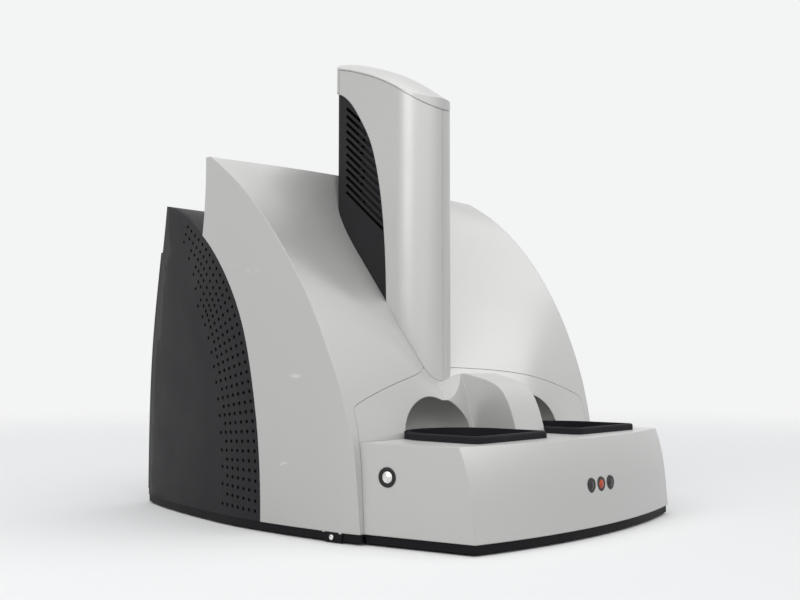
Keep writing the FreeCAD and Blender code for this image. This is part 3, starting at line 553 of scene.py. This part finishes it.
def vent_cutter():
    mesh = bmesh.new()
    turns = [2 * math.pi * k / VENT_SIDES for k in range(VENT_SIDES)]
    for y, z in vent_places():
        for side in (-1, 1):
            ends = []
            for x in (VENT_FROM, VENT_TO):
                ends.append([mesh.verts.new((side * x * MM, y + VENT_RADIUS * MM * math.cos(a),
                                             z + VENT_RADIUS * MM * math.sin(a))) for a in turns])
            near, far = ends
            for k in range(VENT_SIDES):
                after = (k + 1) % VENT_SIDES
                mesh.faces.new((near[k], near[after], far[after], far[k]))
            mesh.faces.new(near[::-1])
            mesh.faces.new(far)
    bmesh.ops.recalc_face_normals(mesh, faces=mesh.faces)
    return finished(mesh, "vent_cutter")


def cut_away(mesh, cutter_mesh):
    target = placed("cut_target", mesh)
    cutter = placed("cut_tool", cutter_mesh)
    boolean = target.modifiers.new("holes", "BOOLEAN")
    boolean.operation = "DIFFERENCE"
    boolean.solver = "EXACT"
    boolean.object = cutter
    bpy.context.view_layer.update()
    result = bpy.data.meshes.new_from_object(target.evaluated_get(bpy.context.evaluated_depsgraph_get()))
    bpy.data.objects.remove(target)
    bpy.data.objects.remove(cutter)
    return result


def vented_housing(looks):
    mesh = cut_away(welded("rear_housing"), vent_cutter())
    piece = finish_piece("rear_housing_vented", mesh, "base", looks, "dark_plastic")
    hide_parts("rear_housing")


# Stage

def seen_rays(tree):
    # One for a camera, glossy or transmission ray, nought for the light thrown between surfaces
    path = tree.nodes.new("ShaderNodeLightPath")
    total = path.outputs["Is Camera Ray"]
    for name in ("Is Transmission Ray", "Is Glossy Ray"):
        most = tree.nodes.new("ShaderNodeMath")
        most.operation = "MAXIMUM"
        tree.links.new(total, most.inputs[0])
        tree.links.new(path.outputs[name], most.inputs[1])
        total = most.outputs[0]
    return total


def floor_material():
    material = bpy.data.materials.new("floor")
    material.use_nodes = True
    tree = material.node_tree
    shader = tree.nodes["Principled BSDF"]
    shader.inputs["Roughness"].default_value = FLOOR_ROUGHNESS
    shader.inputs["Specular IOR Level"].default_value = FLOOR_GLOSS
    colour = colour_mix(tree, seen_rays(tree))
    colour.inputs[MIX_FIRST].default_value = (*FLOOR_BOUNCE, 1.0)
    colour.inputs[MIX_SECOND].default_value = (*FLOOR, 1.0)
    tree.links.new(colour.outputs[MIX_COLOUR], shader.inputs["Base Color"])
    place = tree.nodes.new("ShaderNodeTexCoord")
    away = tree.nodes.new("ShaderNodeVectorMath")
    away.operation = "LENGTH"
    tree.links.new(place.outputs["Object"], away.inputs[0])
    fade = tree.nodes.new("ShaderNodeMapRange")
    fade.interpolation_type = "SMOOTHSTEP"
    fade.inputs["From Min"].default_value = FLOOR_FADE[0]
    fade.inputs["From Max"].default_value = FLOOR_FADE[1]
    tree.links.new(away.outputs["Value"], fade.inputs["Value"])
    clear = tree.nodes.new("ShaderNodeBsdfTransparent")
    mix = tree.nodes.new("ShaderNodeMixShader")
    tree.links.new(fade.outputs["Result"], mix.inputs[0])
    tree.links.new(shader.outputs[0], mix.inputs[1])
    tree.links.new(clear.outputs[0], mix.inputs[2])
    tree.links.new(mix.outputs[0], tree.nodes["Material Output"].inputs["Surface"])
    return material


def floor():
    mesh = bmesh.new()
    bmesh.ops.create_grid(mesh, x_segments=FLOOR_GRID, y_segments=FLOOR_GRID, size=FLOOR_SIZE)
    data = finished(mesh, "floor")
    data.materials.append(floor_material())
    made = placed("floor", data)


def world():
    made = bpy.data.worlds.new("studio")
    bpy.context.scene.world = made
    made.use_nodes = True
    tree = made.node_tree
    tree.nodes.clear()
    seen = tree.nodes.new("ShaderNodeBackground")
    seen.inputs["Color"].default_value = (*BACKDROP, 1.0)
    fill = tree.nodes.new("ShaderNodeBackground")
    fill.inputs["Color"].default_value = (*FILL_COLOUR, 1.0)
    fill.inputs["Strength"].default_value = FILL
    mix = tree.nodes.new("ShaderNodeMixShader")
    tree.links.new(seen_rays(tree), mix.inputs[0])
    tree.links.new(fill.outputs[0], mix.inputs[1])
    tree.links.new(seen.outputs[0], mix.inputs[2])
    out = tree.nodes.new("ShaderNodeOutputWorld")
    tree.links.new(mix.outputs[0], out.inputs["Surface"])


def left_lamp():
    data = bpy.data.lights.new("left", "AREA")
    data.shape = "RECTANGLE"
    data.size = LEFT_SIZE
    data.size_y = LEFT_SIZE
    data.energy = LEFT_POWER
    made = placed("left", data)
    made.location = LEFT_PLACE
    made.rotation_euler = (Vector(LEFT_AIM) - Vector(LEFT_PLACE)).to_track_quat("-Z", "Y").to_euler()


def overhead():
    # A broad, even light, so that the floor stays as pale far away as it is near
    data = bpy.data.lights.new("overhead", "SUN")
    data.energy = OVERHEAD
    data.angle = math.radians(OVERHEAD_SPREAD)
    made = placed("overhead", data)
    made.rotation_euler = (math.radians(OVERHEAD_TURN[0]), math.radians(OVERHEAD_TURN[1]), 0)


def camera():
    data = bpy.data.cameras.new("camera")
    data.lens = LENS
    data.sensor_width = SENSOR
    made = placed("camera", data)
    made.location = CAMERA_PLACE
    made.rotation_euler = (math.radians(90 + CAMERA_PITCH), 0, math.radians(-CAMERA_YAW))
    bpy.context.scene.camera = made


bpy.context.scene.view_settings.view_transform = "Standard"
camera()
floor()
world()
overhead()
left_lamp()
looks = finishes()
dress_nodes(looks)
vented_housing(looks)
power_button(looks)
feet(looks)
socket_bolts(looks)
cover_tabs(looks)
